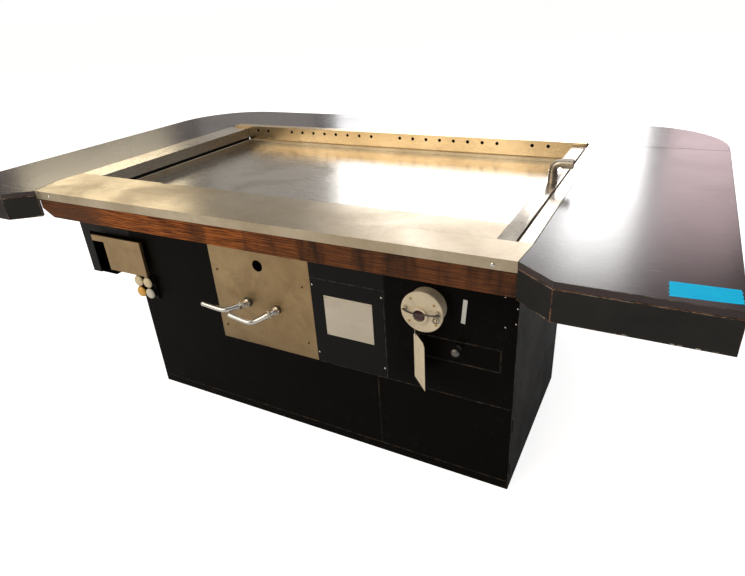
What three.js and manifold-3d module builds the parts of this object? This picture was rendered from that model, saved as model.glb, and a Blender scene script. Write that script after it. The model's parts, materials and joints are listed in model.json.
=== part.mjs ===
import * as THREE from 'three';
import Module from 'manifold-3d';
import { mergeVertices } from 'three/addons/utils/BufferGeometryUtils.js';

// Millimetres, +Z up. The floor is z = 0 and the counter's centre is x = 0, y = 0.
// The cook stands at -Y, guests sit at -X, +X and +Y.

// Counter
const COUNTER_X = 1305;
const COUNTER_Y = 797.5;
const COUNTER_TOP = 750;
const COUNTER_THICK = 16;
const SKIRT_BOTTOM = 653;
const SKIRT_TOP = 733.6;
const SKIRT_THICK = 20;
const CORNER_RADIUS = 340;

// Cooking well
const SHEET = 3;
const LEDGE_FRONT_Y = -725.5;
const RAIL_FRONT_Y = -613;
const WELL_FRONT_Y = -503.4;
const WELL_BACK_Y = 378.5;
const WELL_X = 786.5;
const RAIL_FLANGE_Z = 706;
const SPLASH_TOP = 760.2;
const HOLE_PITCH = 62.2;
const HOLE_GROUPS = [[-725.6, 2], [-521.9, 8], [55, 8], [631.9, 2]];

// Griddle plate
const PLATE_X = 771;
const PLATE_FRONT_Y = -425;
const PLATE_BACK_Y = 366;
const PLATE_TOP = 683.5;
const PLATE_THICK = 20;

// Cabinet
const FRONT_Y = -675.5;
const BOARD = 18;
const CABINET_LEFT = -489.5;
const CABINET_RIGHT = 868;
const CABINET_BACK_Y = -83;
const CABINET_TOP = 620;
const PANEL_TOP = 648;
const KICK_TOP = 30.6;

// Controls
const LEFT_STEM = [0.9, 446.6];
const RIGHT_STEM = [115.4, 441.1];
const BUTTONS = [[-476, 446.5], [-432.5, 446.5], [-476, 404], [-432.5, 404]];

const wasm = await Module();
wasm.setup();
const griddle = new THREE.Group();
griddle.name = 'flat_top_griddle';

const finishes = {
  laminate: { color: 0x2a1f1d, roughness: 0.22, metalness: 0.0 },
  steel: { color: 0xb9ad97, roughness: 0.32, metalness: 1.0 },
  plate: { color: 0x8f877c, roughness: 0.25, metalness: 1.0 },
  oak: { color: 0x8a4a22, roughness: 0.5, metalness: 0.0 },
  black_board: { color: 0x17171a, roughness: 0.45, metalness: 0.0 },
  black_metal: { color: 0x1c1c1f, roughness: 0.4, metalness: 0.4 },
  sheet: { color: 0xb7a483, roughness: 0.4, metalness: 1.0 },
  chrome: { color: 0xd8d8d6, roughness: 0.12, metalness: 1.0 },
  cast: { color: 0x3a3634, roughness: 0.7, metalness: 0.8 },
  brass: { color: 0xa98a4a, roughness: 0.35, metalness: 1.0 },
  cream: { color: 0xd8ccb0, roughness: 0.45, metalness: 0.0 },
  dark_red: { color: 0x4b2026, roughness: 0.4, metalness: 0.0 },
  card: { color: 0xd9c7a3, roughness: 0.8, metalness: 0.0 },
  cream_plastic: { color: 0xdccda4, roughness: 0.3, metalness: 0.0 },
  yellow_plastic: { color: 0xd8a63c, roughness: 0.3, metalness: 0.0 },
  grey_plastic: { color: 0xc9c7bd, roughness: 0.3, metalness: 0.0 },
  red_enamel: { color: 0x8c1f1a, roughness: 0.3, metalness: 0.0 },
  pine: { color: 0xa98558, roughness: 0.7, metalness: 0.0 },
};

function signedVolume(positions, index) {
  const a = new THREE.Vector3();
  const b = new THREE.Vector3();
  const c = new THREE.Vector3();
  let total = 0;
  for (let i = 0; i < index.length; i += 3) {
    a.fromArray(positions, 3 * index[i]);
    b.fromArray(positions, 3 * index[i + 1]);
    c.fromArray(positions, 3 * index[i + 2]);
    total += a.dot(b.cross(c));
  }
  return total / 6;
}

function solid(geometry) {
  let plain = geometry.clone();
  plain.deleteAttribute('normal');
  plain.deleteAttribute('uv');
  plain = mergeVertices(plain, 1e-3);
  const positions = new Float32Array(plain.attributes.position.array);
  const index = new Uint32Array(plain.index.array);
  if (signedVolume(positions, index) < 0) {
    for (let i = 0; i < index.length; i += 3) {
      [index[i + 1], index[i + 2]] = [index[i + 2], index[i + 1]];
    }
  }
  const mesh = new wasm.Mesh({ numProp: 3, vertProperties: positions, triVerts: index });
  return new wasm.Manifold(mesh);
}

function surface(body) {
  const mesh = body.getMesh();
  const geometry = new THREE.BufferGeometry();
  geometry.setAttribute(
    'position',
    new THREE.BufferAttribute(new Float32Array(mesh.vertProperties), 3),
  );
  geometry.setIndex(new THREE.BufferAttribute(new Uint32Array(mesh.triVerts), 1));
  return geometry;
}

function join(first, ...others) {
  let body = solid(first);
  for (const other of others) {
    body = body.add(solid(other));
  }
  return surface(body);
}

function cut(first, ...tools) {
  let body = solid(first);
  for (const tool of tools) {
    body = body.subtract(solid(tool));
  }
  return surface(body);
}

function add(name, geometry, finish) {
  const flat = surface(solid(geometry)).toNonIndexed();
  flat.computeVertexNormals();
  const mesh = new THREE.Mesh(flat, new THREE.MeshStandardMaterial(finishes[finish]));
  mesh.name = name;
  griddle.add(mesh);
}

function block(x0, x1, y0, y1, z0, z1) {
  const geometry = new THREE.BoxGeometry(x1 - x0, y1 - y0, z1 - z0);
  geometry.translate((x0 + x1) / 2, (y0 + y1) / 2, (z0 + z1) / 2);
  return geometry;
}

function outline(points) {
  return new THREE.Shape(points.map(([a, b]) => new THREE.Vector2(a, b)));
}

// Plan outline in x and y, raised from z0 to z1.
function slab(points, z0, z1) {
  const geometry = new THREE.ExtrudeGeometry(outline(points), {
    depth: z1 - z0,
    bevelEnabled: false,
  });
  geometry.translate(0, 0, z0);
  return geometry;
}

// Outline in x and z, running from y0 to y1.
function frontProfile(points, y0, y1) {
  const geometry = new THREE.ExtrudeGeometry(outline(points), {
    depth: y1 - y0,
    bevelEnabled: false,
  });
  geometry.rotateX(Math.PI / 2);
  geometry.translate(0, y1, 0);
  return geometry;
}

function cylinder(axis, centre, radius, from, to, sides = 24) {
  const geometry = new THREE.CylinderGeometry(radius, radius, to - from, sides);
  const middle = (from + to) / 2;
  if (axis === 'x') {
    geometry.rotateZ(-Math.PI / 2);
    geometry.translate(middle, centre[0], centre[1]);
  } else if (axis === 'y') {
    geometry.translate(centre[0], middle, centre[1]);
  } else {
    geometry.rotateX(Math.PI / 2);
    geometry.translate(centre[0], centre[1], middle);
  }
  return geometry;
}

// Turned piece about a line along Y or Z; profile points are [radius, position].
function turned(axis, centre, profile, sides = 28) {
  const points = profile.map(([r, p]) => new THREE.Vector2(r, p));
  const geometry = new THREE.LatheGeometry(points, sides);
  if (axis === 'y') {
    geometry.translate(centre[0], 0, centre[1]);
  } else {
    geometry.rotateX(Math.PI / 2);
    geometry.translate(centre[0], centre[1], 0);
  }
  return geometry;
}

function bar(points, radius, steps, sides = 14) {
  const path = new THREE.CatmullRomCurve3(
    points.map(([x, y, z]) => new THREE.Vector3(x, y, z)),
    false,
    'centripetal',
  );
  const round = new THREE.Shape();
  for (let i = 0; i < sides; i += 1) {
    const angle = (2 * Math.PI * i) / sides;
    const point = [radius * Math.cos(angle), radius * Math.sin(angle)];
    if (i === 0) {
      round.moveTo(...point);
    } else {
      round.lineTo(...point);
    }
  }
  round.closePath();
  return new THREE.ExtrudeGeometry(round, { steps, extrudePath: path, bevelEnabled: false });
}

function arc(centreX, centreY, radius, fromDegrees, toDegrees, steps) {
  const points = [];
  for (let i = 0; i <= steps; i += 1) {
    const angle = ((fromDegrees + ((toDegrees - fromDegrees) * i) / steps) * Math.PI) / 180;
    points.push([centreX + radius * Math.cos(angle), centreY + radius * Math.sin(angle)]);
  }
  return points;
}

function counterBoards() {
  const bottom = COUNTER_TOP - COUNTER_THICK;
  const bend = COUNTER_X - CORNER_RADIUS;
  const bendY = COUNTER_Y - CORNER_RADIUS;
  const left = [
    [-COUNTER_X, -COUNTER_Y], [-960, -COUNTER_Y], [-868.6, -725.9], [-906.4, -612],
    [-906.4, 378.4], [-868.8, 378.4], [-868.8, 417.7], [-COUNTER_X, 417.7],
  ];
  const right = [
    [COUNTER_X, -COUNTER_Y], [COUNTER_X, 417.7], [876.5, 417.7], [876.5, -612],
    [868.6, -725.9], [960, -COUNTER_Y],
  ];
  const back = [
    [-COUNTER_X, 418], [COUNTER_X, 418],
    ...arc(bend, bendY, CORNER_RADIUS, 0, 90, 16),
    ...arc(-bend, bendY, CORNER_RADIUS, 90, 180, 16),
  ];
  add('counter_left', slab(left, bottom, COUNTER_TOP), 'laminate');
  add('counter_back', slab(back, bottom, COUNTER_TOP), 'laminate');
  add('counter_right', slab(right, bottom, COUNTER_TOP), 'laminate');
}

function skirts() {
  const bend = COUNTER_X - CORNER_RADIUS;
  const bendY = COUNTER_Y - CORNER_RADIUS;
  const inner = CORNER_RADIUS - SKIRT_THICK;
  const wrap = [
    [COUNTER_X, -777.1],
    ...arc(bend, bendY, CORNER_RADIUS, 0, 90, 14),
    ...arc(-bend, bendY, CORNER_RADIUS, 90, 180, 14),
    [-COUNTER_X, -777.1], [-COUNTER_X + SKIRT_THICK, -777.1],
    ...arc(-bend, bendY, inner, 180, 90, 14),
    ...arc(bend, bendY, inner, 90, 0, 14),
    [COUNTER_X - SKIRT_THICK, -777.1],
  ];
  add('skirt_wrap', slab(wrap, SKIRT_BOTTOM, SKIRT_TOP), 'laminate');
  for (const side of [-1, 1]) {
    const front = [
      [side * COUNTER_X, -COUNTER_Y], [side * 960, -COUNTER_Y], [side * 868.6, -725.9],
      [side * 880.9, -710.2], [side * 966.8, -777.5], [side * COUNTER_X, -777.5],
    ];
    const name = side < 0 ? 'skirt_front_left' : 'skirt_front_right';
    add(name, slab(front, SKIRT_BOTTOM, SKIRT_TOP), 'laminate');
  }
}

function ledgeAndRails() {
  const top = COUNTER_TOP;
  const under = top - SHEET;
  const apron = [
    [-866, 720.4], [-866, 683.5], [-814.5, SKIRT_BOTTOM], [866, SKIRT_BOTTOM], [866, 720.4],
  ];
  add('wood_apron', frontProfile(apron, -719, -699), 'oak');

  const ledge = [[-868, LEDGE_FRONT_Y], [868, LEDGE_FRONT_Y], [876, -613.4], [-904, -613.4]];
  add('front_ledge', join(
    slab(ledge, under, top),
    block(-868, 868, LEDGE_FRONT_Y, LEDGE_FRONT_Y + SHEET, 721, under + 1),
  ), 'steel');

  add('front_rail', cut(
    join(
      block(-905.6, 786, RAIL_FRONT_Y, WELL_FRONT_Y, under, top),
      block(-785.8, 785.8, WELL_FRONT_Y - SHEET, WELL_FRONT_Y, RAIL_FLANGE_Z, under + 1),
    ),
    block(-468, -413, WELL_FRONT_Y - 6, WELL_FRONT_Y + 1, 735, top + 1),
  ), 'steel');

  add('left_rail', join(
    block(-905.6, -WELL_X, -502.9, 378, under, top),
    block(-WELL_X - SHEET, -WELL_X, -502.9, 378, RAIL_FLANGE_Z, under + 1),
  ), 'steel');

  add('right_rail', cut(
    join(
      block(WELL_X, 833, RAIL_FRONT_Y, 378, under, top),
      block(WELL_X, WELL_X + SHEET, -503, 378, RAIL_FLANGE_Z, under + 1),
      block(830, 833, RAIL_FRONT_Y, 378, 700, under + 1),
      block(830, 839.5, RAIL_FRONT_Y, 378, 700, 703),
    ),
    cylinder('z', [814, -118], 16.5, under - 2, top + 2),
  ), 'steel');

  add('right_trim', join(
    block(840, 875.6, RAIL_FRONT_Y, 417.4, under, top),
    block(840, 843, RAIL_FRONT_Y, 417.4, 700, under + 1),
  ), 'steel');
}

function backSplash() {
  const front = WELL_BACK_Y;
  const back = 417.6;
  const left = -868.3;
  const right = 835;
  const holes = [];
  for (const [first, count] of HOLE_GROUPS) {
    for (let i = 0; i < count; i += 1) {
      const x = first + i * HOLE_PITCH;
      holes.push(cylinder('y', [x, 741], 7, front - 2, front + SHEET + 2, 16));
    }
  }
  const face = [
    [left, 750.4], [-WELL_X, 750.4], [-WELL_X, 695], [WELL_X, 695],
    [WELL_X, 750.4], [right, 750.4], [right, SPLASH_TOP], [left, SPLASH_TOP],
  ];
  const shell = join(
    frontProfile(face, front, front + SHEET),
    block(left, right, front + 1, back, SPLASH_TOP - SHEET, SPLASH_TOP),
    block(-840, 820, back - SHEET, back, 695, SPLASH_TOP - 1),
    block(left, left + SHEET, front + 1, back, 751, SPLASH_TOP - 1),
    block(right - SHEET, right, front + 1, back, 751, SPLASH_TOP - 1),
  );
  add('back_splash', cut(shell, ...holes), 'steel');
}

function cookingPlate() {
  const bottom = PLATE_TOP - PLATE_THICK;
  const radius = 10;
  const plate = [
    [-PLATE_X, PLATE_FRONT_Y], [PLATE_X, PLATE_FRONT_Y],
    ...arc(PLATE_X - radius, PLATE_BACK_Y - radius, radius, 0, 90, 5),
    ...arc(radius - PLATE_X, PLATE_BACK_Y - radius, radius, 90, 180, 5),
  ];
  add('griddle_plate', slab(plate, bottom, PLATE_TOP), 'plate');

  const inX = PLATE_X + 0.4;
  const outX = PLATE_X + 6.5;
  const inY = PLATE_BACK_Y + 0.4;
  const outY = PLATE_BACK_Y + 6.5;
  const lip = [
    [-outX, PLATE_FRONT_Y], [-inX, PLATE_FRONT_Y], [-inX, inY], [inX, inY],
    [inX, PLATE_FRONT_Y], [outX, PLATE_FRONT_Y], [outX, outY], [-outX, outY],
  ];
  add('plate_lip', slab(lip, bottom, 697), 'steel');

  add('grease_trough', cut(
    block(-777, 777, -503, -426, 640, 690),
    block(-775, 775, -501, -428, 642, 691),
    block(-775, 775, -429, -425, 683, 691),
    cylinder('z', [-600, -465], 20, 639, 643),
  ), 'steel');

  add('drain_tube', turned('z', [-600, -465], [
    [17, 585], [19, 585], [19, 636.6], [30, 636.6], [30, 639.6], [17, 639.6], [17, 585],
  ]), 'steel');
}

function burners() {
  const wall = 3;
  const portZ = 560;
  const box = join(
    block(-350, 350, -260, 200, 480, 660),
    block(-350, 350, -380, -258, 651, 654),
    block(-350, 350, 198, 280, 651, 654),
  );
  add('burner_box', cut(
    box,
    block(-350 + wall, 350 - wall, -260 + wall, 200 - wall, 480 + wall, 661),
    cylinder('y', [-160, portZ], 23, -264, -250),
    cylinder('y', [160, portZ], 23, -264, -250),
  ), 'cast');

  for (const [name, stem, x] of [['burner_left', LEFT_STEM, -160], ['burner_right', RIGHT_STEM, 160]]) {
    add(name, bar([
      [stem[0], -585, stem[1]], [stem[0], -545, stem[1]], [x, -330, portZ],
      [x, -262, portZ], [x, 0, portZ], [x, 180, portZ],
    ], 17, 18, 12), 'cast');
  }

  add('gas_manifold', cylinder('x', [-628, 398], 13.5, -440, 260), 'cast');
  for (const [name, stem] of [['gas_valve_left', LEFT_STEM], ['gas_valve_right', RIGHT_STEM]]) {
    add(name, join(
      cylinder('y', stem, 17, -650, -590),
      cylinder('z', [stem[0], -628], 9, 411.9, stem[1] - 4),
    ), 'brass');
  }
}

function valveLever(name, stem, elbow, end) {
  const [x, z] = stem;
  const gripY = -735.5;
  add(name, join(
    cylinder('y', stem, 6, -650.4 - 24, -650.4, 16),
    turned('y', stem, [
      [0, -673], [6, -673], [6, -679], [13, -679], [13, -684], [10, -686],
      [10, -693], [0, -693],
    ], 18),
    bar([
      [x, -686, z], [x - 3, -695, z - 0.5], [elbow[0] + 8, gripY + 7, elbow[1] + 0.8],
      [elbow[0] - 4, gripY, elbow[1]], [end[0], gripY, end[1]],
    ], 9.2, 22),
    new THREE.SphereGeometry(9.25, 14, 10).translate(end[0], gripY, end[1]),
  ), 'chrome');
}

function controlFascia() {
  add('control_panel', cut(
    block(-128.5, 253.5, FRONT_Y, FRONT_Y + SHEET, 290, PANEL_TOP),
    cylinder('y', [63.6, 584.6], 19, FRONT_Y - 2, FRONT_Y + SHEET + 2),
    cylinder('y', LEFT_STEM, 8, FRONT_Y - 2, FRONT_Y + SHEET + 2),
    cylinder('y', RIGHT_STEM, 8, FRONT_Y - 2, FRONT_Y + SHEET + 2),
  ), 'sheet');
  add('instrument_panel', block(254, 497, FRONT_Y, FRONT_Y + SHEET, 290, PANEL_TOP), 'black_metal');
  add('name_plate', block(298, 458, FRONT_Y - 1.6, FRONT_Y - 0.4, 397, 530), 'steel');
  add('panel_frame', cut(
    block(-128, 497, -672.1, -654.1, 291, 640),
    block(-88, 208, -680, -650, 318, 612),
    block(280, 470, -680, -650, 340, 612),
  ), 'pine');
  valveLever('valve_lever_left', LEFT_STEM, [-45, 438.8], [-134.5, 444.2]);
  valveLever('valve_lever_right', RIGHT_STEM, [52.9, 414.6], [-27.7, 424.2]);
}

function cabinetBoards() {
  const inner = FRONT_Y + BOARD;
  const sideFront = inner + 0.5;
  const leftBoard = [
    [CABINET_LEFT, 31], [463, 31], [463, 289.4], [-129, 289.4],
    [-129, PANEL_TOP], [CABINET_LEFT, PANEL_TOP],
  ];
  add('front_board', frontProfile(leftBoard, FRONT_Y, inner), 'black_board');
  add('upper_right_panel', cut(
    block(497.5, CABINET_RIGHT, FRONT_Y, inner, 290, PANEL_TOP),
    block(598.8, 829.2, FRONT_Y - 2, inner + 2, 401.8, 471.2),
  ), 'black_board');
  add('lower_right_door', block(464, 867.6, FRONT_Y, inner, 31, 289.4), 'black_board');
  add('kick_rail', block(CABINET_LEFT, CABINET_RIGHT, FRONT_Y, inner, 0, KICK_TOP), 'black_board');

  add('cabinet_left_side', join(
    block(CABINET_LEFT, CABINET_LEFT + BOARD, sideFront, CABINET_BACK_Y, 0, CABINET_TOP),
    block(CABINET_LEFT, -430, CABINET_BACK_Y - BOARD, CABINET_BACK_Y, 0, CABINET_TOP),
  ), 'black_board');
  add('cabinet_right_side', join(
    block(CABINET_RIGHT - BOARD, CABINET_RIGHT, sideFront, CABINET_BACK_Y, 0, CABINET_TOP),
    block(780, CABINET_RIGHT, CABINET_BACK_Y - BOARD, CABINET_BACK_Y, 0, CABINET_TOP),
  ), 'black_board');
  add('cabinet_divider', block(454.5, 472.5, -653.7, -101.5, 58.5, CABINET_TOP), 'pine');
  add('cabinet_floor', block(-471, 849.5, -656.5, -101.5, 40, 58), 'pine');

  const rear = [
    [-430, -82.5], [-412, -82.5], [-412, 332], [762, 332],
    [762, -82.5], [780, -82.5], [780, 350], [-430, 350],
  ];
  add('rear_base', slab(rear, 0, CABINET_TOP), 'black_board');
}

function carriers() {
  const bottom = CABINET_TOP + 0.5;
  add('support_beam_front', block(-1200, 1200, -380, -320, bottom, 650.5), 'pine');
  add('support_beam_rear', block(-1200, 1200, 220, 280, bottom, 650.5), 'pine');
  for (const side of [-1, 1]) {
    const tag = side < 0 ? 'left' : 'right';
    const bearer = [side * 1080, side * 1120].sort((a, b) => a - b);
    const support = [side * 720, side * 760].sort((a, b) => a - b);
    add(`wing_bearer_${tag}`, block(...bearer, -700, 725, 651, 733.6), 'pine');
    add(`plate_support_${tag}`, block(...support, -420, 360, 651, 663.1), 'black_metal');
  }
}

function safetyRelease() {
  const face = [628.4, 565];
  const boss = [623, 556];
  add('pull_station_body', cut(
    join(
      turned('y', face, [
        [0, -675.9], [53, -675.9], [53, -712], [57, -712], [59, -714],
        [59, -718.5], [57, -720], [0, -720],
      ], 36),
      cylinder('y', boss, 23, -726, -715, 28),
    ),
    cylinder('y', boss, 17, -730, -694.6, 24),
  ), 'cream');
  add('pull_handle', turned('y', boss, [
    [0, -697], [15.5, -697], [15.5, -720], [13.5, -722], [0, -722],
  ], 24), 'dark_red');

  const card = [[0, 335], [75, 335], [75, 474], [65, 484], [10, 484], [0, 474]];
  const tag = new THREE.ExtrudeGeometry(outline(card), { depth: 1, bevelEnabled: false });
  const along = new THREE.Vector3(1, -1, 0).normalize();
  const up = new THREE.Vector3(0, 0, 1);
  const through = new THREE.Vector3(-1, -1, 0).normalize();
  tag.applyMatrix4(new THREE.Matrix4().makeBasis(along, up, through));
  tag.translate(591.5, -690, 0);
  add('service_tag', tag, 'card');

  add('agent_cylinder', turned('z', [660, -300], [
    [0, 58.4], [50, 58.4], [60, 70], [60, 380], [45, 420], [18, 440],
    [18, 480], [0, 480],
  ], 28), 'red_enamel');
}

function drawers() {
  add('small_drawer', cut(
    join(
      block(600, 828, FRONT_Y, FRONT_Y + BOARD, 403, 470),
      block(606, 822, FRONT_Y + BOARD - 1, -460, 408, 462),
    ),
    block(612, 816, FRONT_Y + BOARD, -466, 413, 463),
  ), 'black_board');
  add('drawer_knob', turned('y', [714, 452], [
    [0, FRONT_Y - 0.4], [9, FRONT_Y - 0.4], [9, FRONT_Y - 3], [5.5, FRONT_Y - 6],
    [5.5, FRONT_Y - 16], [12, FRONT_Y - 22], [13, FRONT_Y - 27], [11, FRONT_Y - 31],
    [6, FRONT_Y - 33], [0, FRONT_Y - 33.5],
  ], 24), 'chrome');

  add('grease_housing', cut(
    block(-745, -489.9, -675, -350, 434.5, 604),
    block(-742, -492.9, -672, -353, 437.5, 601),
    block(-702, -480, -680, -670, 430, 601),
    block(-625, -480, -680, -345, 430, 469),
    cylinder('z', [-600, -465], 22, 598, 606),
  ), 'black_metal');
  add('housing_flange', join(
    block(-745, -489.9, -675, -672, 604, 648),
    block(-745, -742, -675, -505, 604, 640),
  ), 'black_metal');
  add('grease_drawer', join(
    cut(
      block(-606, -496, -697, -372, 470, 572),
      block(-604, -498, -695.6, -374, 472, 573),
    ),
    block(-609, -423, -698, -696.5, 470, 600),
    block(-667, -608.5, -698, -696.5, 577, 600),
    block(-667, -423, -696.6, -690, 598.5, 600),
    block(-424.5, -423, -696.6, -686, 470, 600),
  ), 'sheet');
}

function switches() {
  const back = -675.9;
  const front = -684;
  const ports = BUTTONS.map((centre) => cylinder('y', centre, 9, front - 5, front + 4, 20));
  add('switch_box', cut(
    join(
      block(-499, -409, front, back, 380, 466.5),
      ...BUTTONS.map((centre) => cylinder('y', centre, 20.5, front - 3, front + 1, 24)),
    ),
    block(-496, -412, front + 3, back + 1, 383, 463.5),
    ...ports,
  ), 'black_metal');
  const colours = ['cream_plastic', 'cream_plastic', 'yellow_plastic', 'grey_plastic'];
  BUTTONS.forEach((centre, i) => {
    add(`push_button_${i + 1}`, turned('y', centre, [
      [0, -681], [7.5, -681], [7.5, -691.5], [17.5, -691.5], [19.5, -693.5],
      [19.5, -696.5], [17, -700], [11, -702.2], [0, -703.2],
    ], 24), colours[i]);
  });
}

function nozzleLine() {
  const [x, y] = [814, -118];
  add('nozzle_pipe', join(
    cylinder('z', [x, y], 11, 600, 783, 20),
    cylinder('z', [x, y], 15, 745, 780, 24),
    cylinder('z', [x, y], 13.6, 778, 783, 24),
  ), 'chrome');
  add('nozzle', join(
    cut(
      join(
        bar([
          [x, y, 787.2], [x, y, 792], [x + 2.1, y, 800], [x + 8, y, 807.4],
          [x + 16.6, y, 811.8], [x + 26, y, 813], [x + 34, y, 813],
        ], 12.2, 20),
        cylinder('x', [y, 813], 16, x + 26, x + 58, 24),
        cylinder('x', [y, 813], 14.4, x + 22, x + 28, 24),
      ),
      cylinder('x', [y, 813], 11.5, x + 44, x + 60, 24),
    ),
    cylinder('z', [x, y], 14.4, 783.4, 790, 24),
  ), 'chrome');
}

counterBoards();
skirts();
ledgeAndRails();
backSplash();
cookingPlate();
burners();
controlFascia();
cabinetBoards();
carriers();
safetyRelease();
drawers();
switches();
nozzleLine();

export default griddle;
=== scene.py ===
import json
import math

import bmesh
import bpy
from mathutils import Matrix, Vector


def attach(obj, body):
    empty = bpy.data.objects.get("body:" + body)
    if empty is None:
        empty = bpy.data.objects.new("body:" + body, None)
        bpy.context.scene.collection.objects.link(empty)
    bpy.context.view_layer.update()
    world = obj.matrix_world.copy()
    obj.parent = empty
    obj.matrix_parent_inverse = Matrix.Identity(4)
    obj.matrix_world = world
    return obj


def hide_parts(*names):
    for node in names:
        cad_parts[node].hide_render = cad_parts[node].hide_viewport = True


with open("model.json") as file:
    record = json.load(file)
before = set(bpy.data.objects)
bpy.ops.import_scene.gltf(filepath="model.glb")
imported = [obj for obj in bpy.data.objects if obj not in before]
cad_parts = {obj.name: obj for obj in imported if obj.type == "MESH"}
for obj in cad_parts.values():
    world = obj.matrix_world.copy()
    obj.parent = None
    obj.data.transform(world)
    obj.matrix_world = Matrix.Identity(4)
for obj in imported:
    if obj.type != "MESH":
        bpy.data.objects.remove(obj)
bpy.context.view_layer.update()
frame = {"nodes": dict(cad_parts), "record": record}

MM = 0.001                    # metres in a millimetre: lists of points below are in millimetres
FRONT_FACE = -675.5           # mm, the cabinet's front face
COVER_FACE = -676.3           # mm, the instrument cover's face
LEDGE_FACE = -725.5           # mm, the ledge's turned-down front
RELEASE_FACE = -720.0         # mm, the release's round face


# ---------------------------------------------------------------- camera

def make_camera():
    """The camera at the photograph's viewing angle."""
    azimuth, pitch, roll = math.radians(29.42), math.radians(27.05), math.radians(-3.72)
    forward = Vector((-math.sin(azimuth) * math.cos(pitch),
                      math.cos(azimuth) * math.cos(pitch), -math.sin(pitch)))
    right = Vector((math.cos(azimuth), math.sin(azimuth), 0))
    up = right.cross(forward)
    right_rolled = right * math.cos(roll) + up * math.sin(roll)
    up_rolled = up * math.cos(roll) - right * math.sin(roll)
    data = bpy.data.cameras.new("camera")
    data.sensor_width = 36
    data.lens = 36 * 563.55 / 745
    data.clip_start, data.clip_end = 0.05, 2000
    camera = bpy.data.objects.new("camera", data)
    bpy.context.scene.collection.objects.link(camera)
    turn = Matrix((right_rolled, up_rolled, -forward)).transposed().to_4x4()
    camera.matrix_world = Matrix.Translation((1.14132, -1.87755, 1.28859)) @ turn
    bpy.context.scene.camera = camera


make_camera()


# ---------------------------------------------------------------- node trees

class Tree:
    """Short names for building one material's node tree."""

    def __init__(self, name):
        self.material = bpy.data.materials.new(name)
        self.material.use_nodes = True
        self.nodes = self.material.node_tree.nodes
        self.links = self.material.node_tree.links
        self.shader = self.nodes["Principled BSDF"]
        self.where = self.nodes.new("ShaderNodeTexCoord").outputs["Object"]

    def put(self, socket, value):
        if isinstance(value, bpy.types.NodeSocket):
            self.links.new(value, socket)
        else:
            socket.default_value = value

    def node(self, kind, settings=None, **inputs):
        made = self.nodes.new(kind)
        for key, value in (settings or {}).items():
            setattr(made, key, value)
        for key, value in inputs.items():
            self.put(made.inputs[key.replace("_", " ")], value)
        return made

    def stretch(self, scale, turn=(0, 0, 0)):
        made = self.node("ShaderNodeMapping", Vector=self.where)
        made.inputs["Scale"].default_value = scale
        made.inputs["Rotation"].default_value = turn
        return made.outputs["Vector"]

    def noise(self, scale, detail=6, rough=0.6, vector=None, distortion=0.0):
        made = self.node("ShaderNodeTexNoise", Scale=scale, Detail=detail,
                         Roughness=rough, Distortion=distortion)
        self.put(made.inputs["Vector"], vector or self.where)
        return made.outputs["Fac"]

    def ramp(self, value, *stops):
        made = self.node("ShaderNodeValToRGB", Fac=value)
        points = made.color_ramp.elements
        while len(points) < len(stops):
            points.new(0.5)
        for point, (place, colour) in zip(points, stops):
            point.position = place
            point.color = (*colour, 1) if isinstance(colour, tuple) else (colour,) * 3 + (1,)
        return made.outputs["Color"]

    def fit(self, value, low, high, to_low=0.0, to_high=1.0):
        made = self.node("ShaderNodeMapRange", {"clamp": True}, Value=value)
        made.inputs["From Min"].default_value = low
        made.inputs["From Max"].default_value = high
        made.inputs["To Min"].default_value = to_low
        made.inputs["To Max"].default_value = to_high
        return made.outputs["Result"]

    def mix(self, factor, first, second, mode="MIX"):
        made = self.node("ShaderNodeMix", {"data_type": "RGBA", "blend_type": mode})
        self.put(made.inputs["Factor"], factor)
        for socket, value in ((made.inputs[6], first), (made.inputs[7], second)):
            self.put(socket, (*value, 1) if isinstance(value, tuple) else value)
        return made.outputs[2]

    def maths(self, operation, first, second=0.0):
        made = self.node("ShaderNodeMath", {"operation": operation})
        self.put(made.inputs[0], first)
        self.put(made.inputs[1], second)
        return made.outputs[0]

    def axis(self, letter):
        made = self.node("ShaderNodeSeparateXYZ", Vector=self.where)
        return made.outputs[letter]

    def bump(self, height, strength, distance):
        made = self.node("ShaderNodeBump", Height=height, Strength=strength)
        made.inputs["Distance"].default_value = distance
        self.put(self.shader.inputs["Normal"], made.outputs["Normal"])

    def finish(self, colour, roughness, metal=0.0, **fixed):
        self.put(self.shader.inputs["Base Color"], colour)
        self.put(self.shader.inputs["Roughness"], roughness)
        self.shader.inputs["Metallic"].default_value = metal
        for key, value in fixed.items():
            self.shader.inputs[key.replace("_", " ")].default_value = value
        return self.material


def laminate(name, base, lighter):
    """Dark glossy laminate with cloudy smears and fine scratches."""
    t = Tree(name)
    cloud = t.noise(3.2, 8, 0.62, distortion=0.6)
    weave = t.maths("MULTIPLY", t.noise(3, 3, 0.6, t.stretch((4, 130, 4))),
                    t.noise(3, 3, 0.6, t.stretch((130, 4, 4))))
    specks = t.ramp(t.noise(420, 3, 0.7), (0.66, 0.0), (0.74, 1.0))
    colour = t.mix(t.ramp(cloud, (0.35, 0.0), (0.7, 1.0)), base, lighter)
    colour = t.mix(t.maths("MULTIPLY", specks, 0.2), colour, (0.16, 0.13, 0.12))
    hair = t.ramp(t.noise(9, 2, 0.5, t.stretch((1, 60, 1), (0, 0, 0.3)), 0.4),
                  (0.68, 0.0), (0.71, 1.0))
    roughness = t.maths("ADD", t.fit(cloud, 0.3, 0.75, 0.19, 0.29),
                        t.maths("MULTIPLY", hair, 0.05))
    t.bump(t.maths("SUBTRACT", weave, t.maths("MULTIPLY", hair, 0.2)), 0.03, 0.0006)
    return t.finish(colour, roughness, Coat_Weight=0.2, Coat_Roughness=0.16)


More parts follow.
